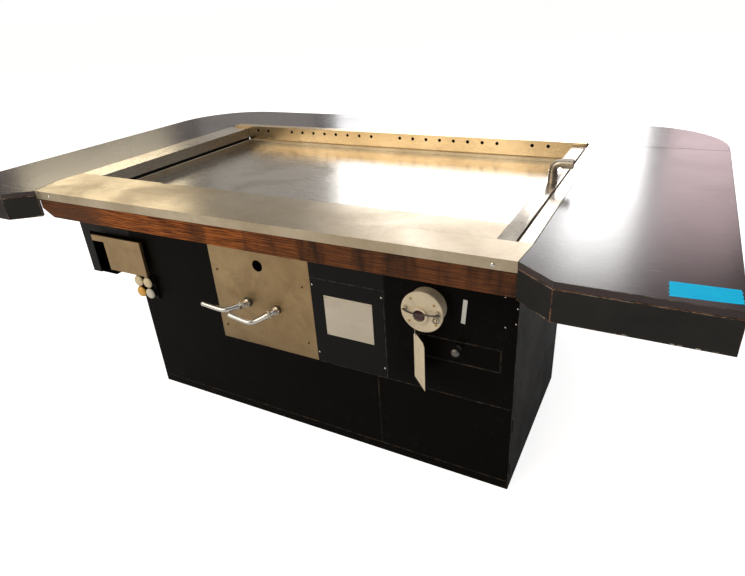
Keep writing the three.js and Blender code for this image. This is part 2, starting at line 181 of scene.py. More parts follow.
def skirt_board():
    """Near-black edge board: pale chipped line under the top, bare chips, dull scuffs."""
    t = Tree("skirt_board")
    z = t.axis("Z")
    cloud = t.noise(9, 7, 0.65, distortion=0.6)
    colour = t.mix(t.fit(cloud, 0.35, 0.7), (0.008, 0.008, 0.008), (0.022, 0.020, 0.018))
    line = t.maths("MULTIPLY", t.fit(z, 0.7305, 0.7320),
                   t.ramp(t.noise(13, 8, 0.75), (0.46, 0.0), (0.56, 1.0)))
    chip = t.ramp(t.noise(30, 4, 0.6, t.stretch((0.7, 0.7, 2.2))), (0.735, 0.0), (0.745, 1.0))
    low = t.maths("MULTIPLY", t.fit(z, 0.6575, 0.656),
                  t.ramp(t.noise(24, 5, 0.7), (0.55, 0.0), (0.6, 1.0)))
    bare = t.maths("MAXIMUM", t.maths("MAXIMUM", line, chip), low)
    colour = t.mix(bare, colour, (0.52, 0.46, 0.38))
    t.bump(t.maths("SUBTRACT", t.maths("MULTIPLY", t.noise(90, 5, 0.6), 0.3), bare), 0.2, 0.0006)
    return t.finish(colour, t.fit(cloud, 0.3, 0.7, 0.42, 0.6), Specular_IOR_Level=0.3)


def rubbed_and_highlit_edge(name, base, bare, low=0.5, high=0.6, scale=30, rough=0.55):
    """The eased edge of a board, rubbed through to what lies below in ragged lengths; its base
    tone, where lighter than the board, is a painted highlight.
    """
    t = Tree(name)
    rub = t.ramp(t.noise(scale, 8, 0.72, distortion=0.4), (low, 0.0), (high, 1.0))
    tone = t.mix(t.fit(t.noise(70, 5, 0.6), 0.3, 0.7), bare, tuple(c * 0.5 for c in bare))
    t.bump(t.noise(140, 5, 0.7), 0.3, 0.0006)
    return t.finish(t.mix(rub, base, tone), rough, Specular_IOR_Level=0.3)


def steel(name, base, stain, along="X", rough=(0.2, 0.36), grain=0.06, stain_amount=0.3):
    """Brushed sheet steel: fine lines along one axis, warm stains and water marks."""
    t = Tree(name)
    scale = {"X": (3, 260, 260), "Y": (260, 3, 260), "Z": (260, 260, 3)}[along]
    lines = t.noise(3.0, 4, 0.65, t.stretch(scale))
    broad = t.noise(3.5, 6, 0.6, distortion=0.8)
    marks = t.ramp(t.noise(13, 10, 0.80, distortion=0.35), (0.46, 0.0), (0.70, 1.0))
    spots = t.ramp(t.noise(150, 3, 0.6), (0.70, 0.0), (0.74, 1.0))
    colour = t.mix(t.fit(broad, 0.35, 0.7), base, stain)
    colour = t.mix(t.maths("MULTIPLY", marks, stain_amount), colour,
                   tuple(c * 0.6 for c in stain))
    colour = t.mix(t.maths("MULTIPLY", spots, 0.5), colour, tuple(c * 0.35 for c in stain))
    colour = t.mix(t.fit(lines, 0.3, 0.7, 0.0, 0.2), colour, tuple(c * 0.75 for c in base))
    roughness = t.maths("ADD", t.fit(broad, 0.3, 0.7, *rough),
                        t.fit(lines, 0.3, 0.7, -0.04, 0.06))
    t.bump(lines, grain, 0.0004)
    return t.finish(colour, roughness, 1.0)


def griddle_top():
    """Ground plate: long sanding marks, cloudy heat tint, small cuts."""
    t = Tree("griddle_plate_steel")
    lines = t.noise(3.0, 4, 0.6, t.stretch((3, 150, 150)))
    cross = t.noise(3.0, 3, 0.6, t.stretch((120, 4, 120), (0, 0, 0.25)))
    broad = t.noise(2.6, 7, 0.62, distortion=1.2)
    spots = t.ramp(t.noise(24, 6, 0.72, distortion=0.5), (0.55, 0.0), (0.7, 1.0))
    colour = t.ramp(broad, (0.3, (0.50, 0.46, 0.40)), (0.5, (0.58, 0.55, 0.50)),
                    (0.7, (0.44, 0.385, 0.32)))
    colour = t.mix(t.maths("MULTIPLY", spots, 0.35), colour, (0.30, 0.25, 0.20))
    roughness = t.maths("ADD", t.fit(broad, 0.3, 0.7, 0.16, 0.3),
                        t.fit(lines, 0.35, 0.65, -0.03, 0.05))
    height = t.maths("ADD", t.maths("MULTIPLY", lines, 0.7), t.maths("MULTIPLY", cross, 0.4))
    t.bump(height, 0.05, 0.0004)
    return t.finish(colour, roughness, 1.0)


def oak():
    """Red-brown oak with long open grain, dark at both ends."""
    t = Tree("oak_stained")
    warp = t.stretch((1.2, 16, 26))
    rings = t.node("ShaderNodeTexWave", {"wave_type": "BANDS", "bands_direction": "Z"},
                   Scale=1.5, Distortion=5.5, Detail=4.0, Detail_Scale=1.6, Vector=warp)
    pores = t.noise(9, 5, 0.7, t.stretch((1.1, 40, 34)))
    colour = t.ramp(rings.outputs["Fac"], (0.1, (0.30, 0.085, 0.022)),
                    (0.5, (0.60, 0.19, 0.035)), (0.9, (0.44, 0.135, 0.036)))
    colour = t.mix(t.ramp(pores, (0.40, 1.0), (0.56, 0.0)), colour, (0.055, 0.014, 0.006))
    x = t.axis("X")
    wave = t.fit(t.noise(5, 4, 0.6), 0.3, 0.7, -0.1, 0.1)
    place = t.maths("ADD", x, wave)
    left_dark = t.fit(place, -0.66, -0.48, 0.9, 0.0)
    right_dark = t.fit(place, -0.05, 0.40, 0.0, 0.8)
    dark = t.maths("MAXIMUM", left_dark, right_dark)
    colour = t.mix(t.maths("MULTIPLY", dark, 0.85), colour, (0.085, 0.042, 0.026))
    burnt = t.maths("MULTIPLY", t.ramp(t.noise(7, 5, 0.6, t.stretch((1.3, 1, 0.25))),
                                       (0.48, 0.0), (0.62, 1.0)), t.fit(x, -0.3, 0.1, 0.15, 0.9))
    colour = t.mix(burnt, colour, (0.03, 0.017, 0.013))
    t.bump(t.maths("ADD", pores, t.maths("MULTIPLY", rings.outputs["Fac"], 0.5)), 0.35, 0.001)
    return t.finish(colour, t.fit(pores, 0.3, 0.7, 0.42, 0.6), Specular_IOR_Level=0.08)


def black_board():
    """Black laminate board: faint brown scuffs, fine flecks, dusty towards the foot."""
    t = Tree("black_board")
    cloud = t.noise(5, 7, 0.65, distortion=0.7)
    scuff = t.ramp(t.noise(34, 9, 0.8, distortion=0.8), (0.56, 0.0), (0.80, 1.0))
    fleck = t.ramp(t.noise(210, 3, 0.6), (0.70, 0.0), (0.74, 1.0))
    streak = t.ramp(t.noise(12, 5, 0.65, t.stretch((12, 12, 1.0))), (0.58, 0.0), (0.85, 1.0))
    low = t.fit(t.axis("Z"), 0.0, 0.10, 1.0, 0.2)
    colour = t.mix(t.fit(cloud, 0.3, 0.75), (0.0012, 0.0010, 0.0009), (0.0040, 0.0029, 0.0022))
    colour = t.mix(t.maths("MULTIPLY", scuff, t.maths("ADD", t.maths("MULTIPLY", low, 0.3), 0.09)),
                   colour, (0.10, 0.070, 0.050))
    colour = t.mix(t.maths("MULTIPLY", streak, 0.05), colour, (0.06, 0.06, 0.075))
    colour = t.mix(t.maths("MULTIPLY", fleck, 0.30), colour, (0.22, 0.18, 0.14))
    t.bump(t.noise(70, 5, 0.6), 0.10, 0.0008)
    return t.finish(colour, t.fit(cloud, 0.3, 0.7, 0.34, 0.50), Specular_IOR_Level=0.06)


def enamel(name, base, chip, chips=0.62, rough=(0.25, 0.4), metal=0.0, gloss=0.5):
    """Paint with small chips and dirt."""
    t = Tree(name)
    cloud = t.noise(18, 6, 0.6, distortion=0.5)
    chipped = t.ramp(t.noise(70, 7, 0.72), (chips, 0.0), (chips + 0.03, 1.0))
    colour = t.mix(t.fit(cloud, 0.35, 0.7, 0.0, 0.6), base, tuple(c * 0.62 for c in base))
    colour = t.mix(chipped, colour, chip)
    t.bump(t.maths("SUBTRACT", t.maths("MULTIPLY", t.noise(120, 4, 0.6), 0.3), chipped),
           0.12, 0.0004)
    return t.finish(colour, t.fit(cloud, 0.3, 0.7, *rough), metal, Specular_IOR_Level=gloss)


def plated(name="plating", base=(0.78, 0.76, 0.72), rough=(0.1, 0.24)):
    """Bright plating with finger marks and pits."""
    t = Tree(name)
    marks = t.noise(40, 6, 0.65, distortion=0.6)
    pits = t.ramp(t.noise(260, 4, 0.7), (0.66, 0.0), (0.72, 1.0))
    colour = t.mix(t.maths("MULTIPLY", pits, 0.6), base, (0.28, 0.22, 0.16))
    t.bump(marks, 0.04, 0.0005)
    return t.finish(colour, t.fit(marks, 0.3, 0.7, *rough), 1.0)


def moulded(name, base, rough=(0.2, 0.35)):
    """Gloss plastic with grime in patches."""
    t = Tree(name)
    grime = t.ramp(t.noise(60, 6, 0.7, distortion=0.8), (0.5, 0.0), (0.75, 1.0))
    colour = t.mix(t.maths("MULTIPLY", grime, 0.45), base, tuple(c * 0.4 for c in base))
    t.bump(t.noise(150, 4, 0.6), 0.04, 0.0004)
    return t.finish(colour, t.fit(t.noise(30, 4, 0.6), 0.3, 0.7, *rough), 0.0,
                    Coat_Weight=0.3, Coat_Roughness=0.1)


def card_stock(name, base, dirt=0.4):
    """Buff card: fibres, thumb marks and soft creases."""
    t = Tree(name)
    fibres = t.noise(320, 6, 0.7)
    marks = t.ramp(t.noise(22, 6, 0.65, distortion=0.9), (0.45, 0.0), (0.75, 1.0))
    colour = t.mix(t.fit(fibres, 0.3, 0.7, 0.0, 0.4), base, tuple(c * 0.8 for c in base))
    colour = t.mix(t.maths("MULTIPLY", marks, dirt), colour, tuple(c * 0.55 for c in base))
    t.bump(fibres, 0.15, 0.0003)
    return t.finish(colour, t.fit(fibres, 0.3, 0.7, 0.6, 0.8))


def iron(name, base=(0.035, 0.032, 0.03)):
    """Rough cast or painted iron with rust bloom."""
    t = Tree(name)
    bloom = t.ramp(t.noise(30, 7, 0.7, distortion=0.6), (0.5, 0.0), (0.7, 1.0))
    colour = t.mix(t.maths("MULTIPLY", bloom, 0.6), base, (0.12, 0.045, 0.02))
    t.bump(t.noise(180, 6, 0.7), 0.3, 0.001)
    return t.finish(colour, t.fit(t.noise(50, 5, 0.6), 0.3, 0.7, 0.5, 0.75), 0.6)


def softwood():
    """Plain boards inside the cabinet."""
    t = Tree("softwood")
    lines = t.noise(6, 5, 0.65, t.stretch((2, 60, 60)))
    colour = t.ramp(lines, (0.3, (0.30, 0.18, 0.085)), (0.7, (0.46, 0.31, 0.16)))
    t.bump(lines, 0.2, 0.0008)
    return t.finish(colour, 0.65)


def glowing_tape_film():
    """Blue masking tape with a faint crepe, glowing faintly blue though it is no lamp: painted
    light.
    """
    t = Tree("blue_tape_painted_glow")
    crepe = t.noise(8, 4, 0.6, t.stretch((60, 700, 60)))
    cloud = t.noise(30, 5, 0.6)
    colour = t.mix(t.fit(cloud, 0.3, 0.7), (0.002, 0.60, 1.0), (0.004, 0.72, 1.0))
    t.bump(crepe, 0.2, 0.0003)
    # painted light: the tape glows with a faint blue emission
    return t.finish(colour, t.fit(crepe, 0.3, 0.7, 0.5, 0.65), Specular_IOR_Level=0.15,
                    Emission_Color=(0.0, 0.30, 0.45, 1.0), Emission_Strength=0.5)


def floor_finish():
    """Pale smooth floor with a very faint mottle, lit from within like a studio light table."""
    t = Tree("pale_floor")
    colour = t.mix(t.fit(t.noise(1.5, 4, 0.5), 0.3, 0.7), (0.80, 0.80, 0.795), (0.84, 0.84, 0.84))
    seen = t.node("ShaderNodeLightPath").outputs["Is Camera Ray"]
    t.put(t.shader.inputs["Emission Strength"], t.fit(seen, 0, 1, 0.09, 0.86))
    return t.finish(colour, 0.9, Emission_Color=(1.0, 1.0, 1.0, 1.0))


LAMINATE = laminate("dark_laminate", (0.026, 0.014, 0.015), (0.046, 0.025, 0.026))
SKIRT = skirt_board()
SKIRT_EDGE = rubbed_and_highlit_edge("skirt_edge", (0.012, 0.011, 0.010), (0.36, 0.16, 0.09), 0.42, 0.52, 34)
# the laminate, cover and board edges take base tones lighter than their boards: painted highlight
# along each eased edge; the ragged bare patches are wear
LAMINATE_EDGE = rubbed_and_highlit_edge("laminate_edge", (0.05, 0.042, 0.038), (0.22, 0.18, 0.15),
                          0.45, 0.62, 26, 0.4)
COVER_EDGE = rubbed_and_highlit_edge("cover_edge", (0.03, 0.028, 0.026), (0.42, 0.40, 0.36), 0.42, 0.56, 22)
BOARD_EDGE = rubbed_and_highlit_edge("board_edge", (0.010, 0.009, 0.009), (0.13, 0.085, 0.055), 0.48, 0.60, 38)
STAINLESS = steel("stainless", (0.66, 0.57, 0.43), (0.50, 0.40, 0.27), rough=(0.26, 0.42),
                  stain_amount=0.45)
# the rails' steel is the ledge's steel with a paler, cooler base: painted sheen for how the rails
# reflect; the grain along Y is real
STAINLESS_SIDE_SHEEN_TINT = steel("stainless_side_sheen_tint", (0.74, 0.68, 0.60), (0.62, 0.54, 0.44), "Y")
# the splash's steel is tinted golden: painted reflection of the warm room in front; its stains are
# real
SPLASH_GOLD_REFLECTION = steel("stainless_splash_gold_reflection", (0.80, 0.64, 0.42), (0.74, 0.54, 0.30))
SHEET = steel("sheet_steel", (0.50, 0.36, 0.20), (0.38, 0.26, 0.14), "Z", (0.34, 0.48), 0.05, 0.5)
NAME = steel("name_plate_steel", (0.80, 0.73, 0.62), (0.72, 0.64, 0.52), "X", (0.4, 0.5), 0.05, 0.2)
PLATE = griddle_top()
OAK = oak()
BOARD = black_board()
BLACK = enamel("black_enamel", (0.006, 0.006, 0.0065), (0.14, 0.12, 0.1), 0.68, (0.28, 0.45),
               gloss=0.15)
CREAM = enamel("cream_enamel", (0.86, 0.74, 0.54), (0.20, 0.13, 0.07), 0.63, (0.3, 0.45))
RED = enamel("red_enamel", (0.30, 0.018, 0.014), (0.1, 0.09, 0.08), 0.66)
DARK_RED = moulded("dark_red_plastic", (0.06, 0.012, 0.018))
SOOT = enamel("soot", (0.004, 0.0038, 0.0035), (0.02, 0.018, 0.015), 0.68, (0.7, 0.9), gloss=0.1)
CHROME = plated()
AGED = plated("aged_fitting", (0.56, 0.50, 0.42), (0.2, 0.38))
BRONZE = plated("dark_screw", (0.16, 0.105, 0.06), (0.35, 0.5))
DULL = plated("dull_knob", (0.20, 0.19, 0.18), (0.3, 0.45))
ROD = moulded("dark_rod", (0.045, 0.032, 0.022))
BRASS = plated("brass_turned", (0.60, 0.42, 0.18), (0.2, 0.35))
IRON = iron("cast_iron")
PINE = softwood()
CARD = card_stock("buff_card", (0.95, 0.83, 0.63))
PAPER = card_stock("white_label", (0.78, 0.78, 0.77), 0.1)
BUTTON_CREAM = moulded("cream_plastic", (0.88, 0.74, 0.48))
BUTTON_YELLOW = moulded("yellow_plastic", (0.95, 0.52, 0.09))
BUTTON_GREY = moulded("grey_plastic", (0.78, 0.74, 0.64))
GLOWING_TAPE = glowing_tape_film()

SLOT_MATERIAL = {
    "dark_laminate": LAMINATE, "stainless": STAINLESS, "griddle_steel": PLATE, "oak": OAK,
    "black_laminate": BOARD, "black_enamel": BLACK, "sheet_steel": SHEET, "chrome": CHROME,
    "cast_iron": IRON, "brass": BRASS, "cream_enamel": CREAM, "dark_red_plastic": DARK_RED,
    "card": CARD, "cream_plastic": BUTTON_CREAM, "yellow_plastic": BUTTON_YELLOW,
    "grey_plastic": BUTTON_GREY, "red_enamel": RED, "pine": PINE,
}
NODE_MATERIAL = {
    "skirt_wrap": SKIRT, "skirt_front_left": SKIRT, "skirt_front_right": SKIRT,
    "left_rail": STAINLESS_SIDE_SHEEN_TINT, "right_rail": STAINLESS_SIDE_SHEEN_TINT, "right_trim": STAINLESS_SIDE_SHEEN_TINT,
    "back_splash": SPLASH_GOLD_REFLECTION, "name_plate": NAME, "nozzle_pipe": AGED, "nozzle": AGED,
    "drawer_knob": DULL,
}
NODE_SLOT = {s["node"]: s["material_slot"] for s in frame["record"]["subparts"]}
NODE_BODY = {n: b for b, ns in frame["record"]["behaviour"]["bodies"].items() for n in ns}


# ---------------------------------------------------------------- meshes

def dress(mesh, materials, smooth_angle=35):
    """Smooth shading with hard edges kept and broad flat faces left flat, and the materials."""
    work = bmesh.new()
    work.from_mesh(mesh)
    limit = math.radians(smooth_angle)
    for edge in work.edges:
        edge.smooth = len(edge.link_faces) == 2 and edge.calc_face_angle(0) < limit
    for face in work.faces:
        beside = [other.calc_area() for edge in face.edges if edge.smooth
                  for other in edge.link_faces if other != face]
        face.smooth = not beside or face.calc_area() < 8 * max(beside)
    work.to_mesh(mesh)
    work.free()
    for material in materials:
        mesh.materials.append(material)


def place(name, work, material, body="table", slot=None, smooth_angle=35):
    """Makes a piece from a bmesh, and lets it ride on a body."""
    mesh = bpy.data.meshes.new(name)
    bmesh.ops.recalc_face_normals(work, faces=work.faces)
    work.to_mesh(mesh)
    work.free()
    dress(mesh, material if isinstance(material, tuple) else (material,), smooth_angle)
    piece = bpy.data.objects.new(name, mesh)
    bpy.context.scene.collection.objects.link(piece)
    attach(piece, body)
    return piece


def sharp_edges(work, degrees=30):
    limit = math.radians(degrees)
    return [e for e in work.edges if len(e.link_faces) == 2 and e.calc_face_angle(0) > limit]


def rounded(work, width, segments=2, degrees=30):
    return bmesh.ops.bevel(work, geom=sharp_edges(work, degrees), offset=width,
                           segments=segments, profile=0.5, affect="EDGES",
                           clamp_overlap=True)["faces"]


def refine(node, width, segments=2, smooth_angle=35, change=None, edge=None):
    """A CAD node redrawn with its edges eased, standing for that node.

    Where an edge material is given, the eased edges take it, and so does any
    face that the change function sets to material 1.
    """
    work = bmesh.new()
    work.from_mesh(frame["nodes"][node].data)
    bmesh.ops.remove_doubles(work, verts=work.verts, dist=1e-6)
    bmesh.ops.dissolve_limit(work, angle_limit=math.radians(0.4), verts=work.verts,
                             edges=work.edges)
    if width:
        for face in rounded(work, width, segments):
            face.material_index = 1 if edge else 0
    if change:
        change(work)
    slot = NODE_SLOT[node]
    material = NODE_MATERIAL.get(node) or SLOT_MATERIAL[slot]
    piece = place(node + "_skin", work, (material, edge) if edge else material,
                  NODE_BODY[node], slot, smooth_angle)
    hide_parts(node)
    return piece


def box_mesh(low, high, width=0.0, segments=2, work=None):
    """An eased box between two corners."""
    own = bmesh.new()
    bmesh.ops.create_cube(own, size=1)
    low, high = Vector(low), Vector(high)
    for v in own.verts:
        v.co = Vector(((v.co[k] + 0.5) * (high[k] - low[k]) + low[k]) for k in range(3))
    if width:
        rounded(own, width, segments)
    if work is None:
        return own
    mesh = bpy.data.meshes.new("scratch")
    own.to_mesh(mesh)
    own.free()
    work.from_mesh(mesh)
    bpy.data.meshes.remove(mesh)
    return work


def lathe_mesh(profile, centre, axis, sides=40, work=None):
    """A turned shape; profile points are (radius, position along axis)."""
    work = work or bmesh.new()
    axis = Vector(axis).normalized()
    side = axis.orthogonal().normalized()
    other = axis.cross(side)
    rings = []
    for radius, position in profile:
        middle = Vector(centre) + axis * position
        if radius < 1e-7:
            rings.append([work.verts.new(middle)])
            continue
        rings.append([work.verts.new(middle + radius * (side * math.cos(a) + other * math.sin(a)))
                      for a in (2 * math.pi * i / sides for i in range(sides))])
    for first, second in zip(rings, rings[1:]):
        for i in range(sides):
            j = (i + 1) % sides
            corners = [first[i % len(first)], first[j % len(first)],
                       second[j % len(second)], second[i % len(second)]]
            unique = list(dict.fromkeys(corners))
            if len(unique) > 2:
                work.faces.new(unique)
    return work


def tube_mesh(points, radius, sides=16, work=None):
    """A round bar swept along points, closed at both ends."""
    work = work or bmesh.new()
    points = [Vector(p) for p in points]
    rings = []
    normal = None
    for i, p in enumerate(points):
        ahead = (points[min(i + 1, len(points) - 1)] - points[max(i - 1, 0)]).normalized()
        normal = ahead.orthogonal() if normal is None else normal - ahead * normal.dot(ahead)
        normal.normalize()
        other = ahead.cross(normal)
        rings.append([work.verts.new(p + radius * (normal * math.cos(a) + other * math.sin(a)))
                      for a in (2 * math.pi * k / sides for k in range(sides))])
    for first, second in zip(rings, rings[1:]):
        for k in range(sides):
            j = (k + 1) % sides
            work.faces.new((first[k], first[j], second[j], second[k]))
    work.faces.new(list(reversed(rings[0])))
    work.faces.new(rings[-1])
    return work


def curve_points(points, count):
    """Smooth points through the given ones (Catmull-Rom)."""
    pts = [Vector(p) for p in points]
    pts = [pts[0] * 2 - pts[1]] + pts + [pts[-1] * 2 - pts[-2]]
    out = []
    spans = len(pts) - 3
    for i in range(count):
        u = i / (count - 1) * spans
        k = min(int(u), spans - 1)
        t = u - k
        a, b, c, d = pts[k:k + 4]
        out.append(0.5 * ((2 * b) + (c - a) * t + (2 * a - 5 * b + 4 * c - d) * t * t
                          + (3 * b - a - 3 * c + d) * t ** 3))
    return out


# ---------------------------------------------------------------- CAD nodes redrawn

for counter in ("counter_left", "counter_back", "counter_right"):
    refine(counter, 0.0016, 3, edge=LAMINATE_EDGE)
for skirt in ("skirt_wrap", "skirt_front_left", "skirt_front_right"):
    refine(skirt, 0.0014, 2, edge=SKIRT_EDGE)
for sheet in ("front_ledge", "front_rail", "left_rail", "right_rail", "right_trim"):
    refine(sheet, 0.0009, 2)


def soot_inside(work):
    """The duct behind the splash is black inside, and so are the edges of its holes."""
    for face in work.faces:
        y = face.calc_center_median().y
        facing = face.normal.y
        inner_front = facing > 0.5 and y < 0.41
        inner_back = facing < -0.5 and y > 0.39
        hole_edge = abs(facing) < 0.5 and 0.3785 < y < 0.3815 and face.calc_area() < 4e-5
        if inner_front or inner_back or hole_edge:
            face.material_index = 1


refine("back_splash", 0.0, change=soot_inside, edge=SOOT)
refine("plate_lip", 0.0016, 2)
refine("grease_trough", 0.0005, 1)
refine("griddle_plate", 0.0022, 3)
refine("wood_apron", 0.0018, 2)
for board in ("front_board", "upper_right_panel", "lower_right_door", "kick_rail",
              "cabinet_left_side", "cabinet_right_side", "rear_base", "small_drawer"):
    refine(board, 0.0012, 2, edge=BOARD_EDGE)
for plate in ("control_panel", "instrument_panel"):
    refine(plate, 0.0006, 2)
refine("name_plate", 0.0004, 1)
refine("grease_housing", 0.0006, 2)
refine("housing_flange", 0.0006, 2)
refine("grease_drawer", 0.0006, 2)
refine("switch_box", 0.001, 2)
for turned in ("drawer_knob", "nozzle_pipe", "nozzle", "valve_lever_left", "valve_lever_right",
               "pull_handle", "push_button_1", "push_button_2", "push_button_3",
               "push_button_4", "agent_cylinder"):
    refine(turned, 0.0, smooth_angle=50)
refine("pull_station_body", 0.0, smooth_angle=40)
refine("service_tag", 0.0)
for node, thing in frame["nodes"].items():
    if not thing.hide_render:
        thing.data.materials.clear()
        thing.data.materials.append(NODE_MATERIAL.get(node) or SLOT_MATERIAL[NODE_SLOT[node]])


# ---------------------------------------------------------------- small pieces

def screws(name, spots, face, material, radius=4.2, body="table", slot="chrome"):
    """Dished pan-head screws with a round recess, on a face that looks towards -Y."""
    work = bmesh.new()
    r = radius * MM
    for x, z in spots:
        lathe_mesh([(0, -0.0002), (r, -0.0002), (r, 0.0008), (r * 0.8, 0.0019),
                    (r * 0.42, 0.0024), (r * 0.34, 0.0012), (0, 0.0009)],
                   (x * MM, face * MM, z * MM), (0, -1, 0), 20, work)
    return place(name, work, material, body, slot, 40)


def hexagon(name, centre, axis, across, length, material, body, slot="chrome"):
    """A hexagon nut along an axis, its corners turned off."""
    out = across / 2 / math.cos(math.pi / 6) * MM
    work = lathe_mesh([(0, 0), (out * 0.9, 0), (out, length * 0.12 * MM),
                       (out, length * 0.88 * MM), (out * 0.9, length * MM), (0, length * MM)],
                      Vector(centre) * MM, axis, 6)
    return place(name, work, material, body, slot, 25)


screws("panel_screws", [(-106, 546), (224, 542), (-106.6, 340), (223, 345)], FRONT_FACE,
       BRONZE, 3.6)
screws("instrument_screws", [(261.5, 559), (489, 559), (261.5, 324), (489, 324)], COVER_FACE,
       CHROME, 3.4)
screws("fascia_screws", [(-797.7, 734), (810.6, 732)], LEDGE_FACE, CHROME, 6.0)
screws("post_screws", [(831.8, 628), (863.8, 601.5), (862, 558), (836, 543)], FRONT_FACE,
       CHROME, 2.6)
screws("switch_screws", [(-454, 459), (-454, 391)], -684.0, CHROME, 3.0)
screws("name_plate_rivets", [(304, 524), (452, 524), (304, 403), (452, 403)], -677.1, NAME, 2.2,
       slot="stainless")
screws("face_screws", [(592.6, 534), (663, 592), (598, 601), (668, 536)], RELEASE_FACE, BRASS,
       3.4, slot="brass")


def make_shade_sheet():
    """A black sheet behind the rails' lower edges, closing the well down to the plate's lip:
    painted shade for the shadow gap there.
    """
    work = bmesh.new()
    for side in (-1, 1):
        line = [(789.5, 716), (789.5, 696), (778.4, 684), (778.0, 684.6), (788.3, 696.4),
                (788.3, 716)]
        rings = [[work.verts.new((side * x * MM, y * MM, z * MM)) for x, z in line]
                 for y in (-500, 377)]
        for i in range(len(line)):
            j = (i + 1) % len(line)
            work.faces.new((rings[0][i], rings[0][j], rings[1][j], rings[1][i]))
        work.faces.new(rings[0])
        work.faces.new(list(reversed(rings[1])))
    # painted shade: a black sheet where the gap between rail and lip lies in shadow
    place("well_shade_sheet", work, BLACK, "table", "black_enamel")


def make_cover_plate():
    """The instrument panel's cover: a thin plate with its enamel rubbed off along the edges, and
    its edges painted lighter as a highlight.
    """
    work = box_mesh((0.2555, -0.6763, 0.2905), (0.4955, -0.67545, 0.5805), 0)
    for face in rounded(work, 0.0005, 1):
        face.material_index = 1
    place("instrument_cover", work, (BLACK, COVER_EDGE), "table", "black_enamel")


def make_label():
    """A small blank label stuck a little askew beside the release."""
    work = box_mesh((-0.00575, -0.00035, -0.0355), (0.00575, 0, 0.0355), 0.00015, 1)
    bmesh.ops.transform(work, verts=work.verts, matrix=Matrix.Translation((0.728, -0.6756, 0.5645))
                        @ Matrix.Rotation(math.radians(4.8), 4, "Y"))
    place("blank_label", work, PAPER, "table", "card", 20)


def make_tape():
    """A torn strip of masking tape on the right wing, one corner lifting."""
    work = bmesh.new()
    corners = [Vector(c) for c in ((1.1707, -0.7125, 0), (1.2962, -0.7070, 0),
                                   (1.2984, -0.7693, 0), (1.1740, -0.7797, 0))]
    across, down = 44, 18
    grid = []
    for i in range(across + 1):
        u = i / across
        row = []
        for j in range(down + 1):
            v = j / down
            p = (corners[0] * (1 - u) * (1 - v) + corners[1] * u * (1 - v)
                 + corners[2] * u * v + corners[3] * (1 - u) * v)
            p.x += (0.0011 * math.sin(v * 23.0) + 0.0006 * math.sin(v * 61.0 + 1)) * (
                (i == 0) - (i == across))
            lift = max(0.0, (u - 0.86) / 0.14) * max(0.0, (v - 0.6) / 0.4)
            p.z = 0.75016 + 0.0012 * lift * lift + 0.00006 * math.sin(u * 19 + v * 5)
            row.append(work.verts.new(p))
        grid.append(row)
    for a, b in zip(grid, grid[1:]):
        for j in range(down):
            work.faces.new((a[j], a[j + 1], b[j + 1], b[j]))
    bmesh.ops.solidify(work, geom=work.faces[:], thickness=0.00014)
    place("masking_tape", work, GLOWING_TAPE, "table", "card", 60)


def make_release_fittings():
    """The rod across the pull handle with its two clips, and the tag's wire and eyelet."""
    rod = [(0.5775, -0.7285, 0.5705), (0.592, -0.7300, 0.5665), (0.606, -0.7292, 0.5625),
           (0.623, -0.7290, 0.5605), (0.641, -0.7292, 0.5650), (0.656, -0.7302, 0.5660),
           (0.672, -0.7295, 0.5690), (0.683, -0.7285, 0.5705)]
    work = tube_mesh(curve_points(rod, 60), 0.0022, 12)
    place("break_rod", work, ROD, "pull_handle_body", "dark_red_plastic", 50)
    clips = bmesh.new()
    for x, z in ((0.5835, 0.5685), (0.6735, 0.5690)):
        box_mesh((x - 0.0035, -0.7265, z - 0.009), (x + 0.0035, -0.7198, z + 0.009), 0.0009, 2,
                 clips)
    place("rod_clips", clips, AGED, "table", "chrome", 30)
    ring = bmesh.new()
    turn = [(0.673 + 0.0075 * math.cos(a), -0.7292 - 0.0012 * math.sin(2 * a),
             0.556 + 0.0095 * math.sin(a)) for a in (2 * math.pi * i / 28 for i in range(29))]
    tube_mesh(turn, 0.0009, 8, ring)
    turn = [(0.6685 + 0.0060 * math.cos(a), -0.7300 + 0.0014 * math.sin(2 * a),
             0.553 + 0.0065 * math.sin(a)) for a in (2 * math.pi * i / 28 for i in range(29))]
    tube_mesh(turn, 0.0008, 8, ring)
    place("seal_wire", ring, ROD, "table", "chrome", 60)
    work = lathe_mesh([(0.0021, -0.0011), (0.0046, -0.0011), (0.0050, -0.0007), (0.0046, -0.0002),
                       (0.0021, -0.0002), (0.0021, -0.0011)],
                      (0.6039, -0.7024, 0.4765), (-1, -1, 0), 24)
    place("tag_eyelet", work, CARD, "tag_body", "card", 50)
    wire = [(0.6039, -0.7020, 0.4775), (0.6030, -0.7042, 0.4815), (0.6010, -0.7035, 0.4880),
            (0.5985, -0.6985, 0.4960), (0.5965, -0.6945, 0.5030), (0.5945, -0.6920, 0.5085),
            (0.5925, -0.6905, 0.5120)]
    work = tube_mesh(curve_points(wire, 40), 0.0007, 8)
    place("tag_wire", work, AGED, "tag_body", "chrome", 60)


def make_hinges():
    """Two hinges at the lower door's right edge, each with door, frame and door barrels."""
    for name, body, parts in (("door_knuckles", "door_body", (0, 2)),
                              ("frame_knuckles", "table", (1,))):
        work = bmesh.new()
        for low in (0.062, 0.220):
            for k in parts:
                z = low + 0.0125 * k
                lathe_mesh([(0, 0), (0.0020, 0), (0.0024, 0.0004), (0.0024, 0.0116),
                            (0.0020, 0.012), (0, 0.012)], (0.8708, -0.6768, z), (0, 0, 1), 16, work)
        place(name, work, BLACK, body, "black_enamel", 40)


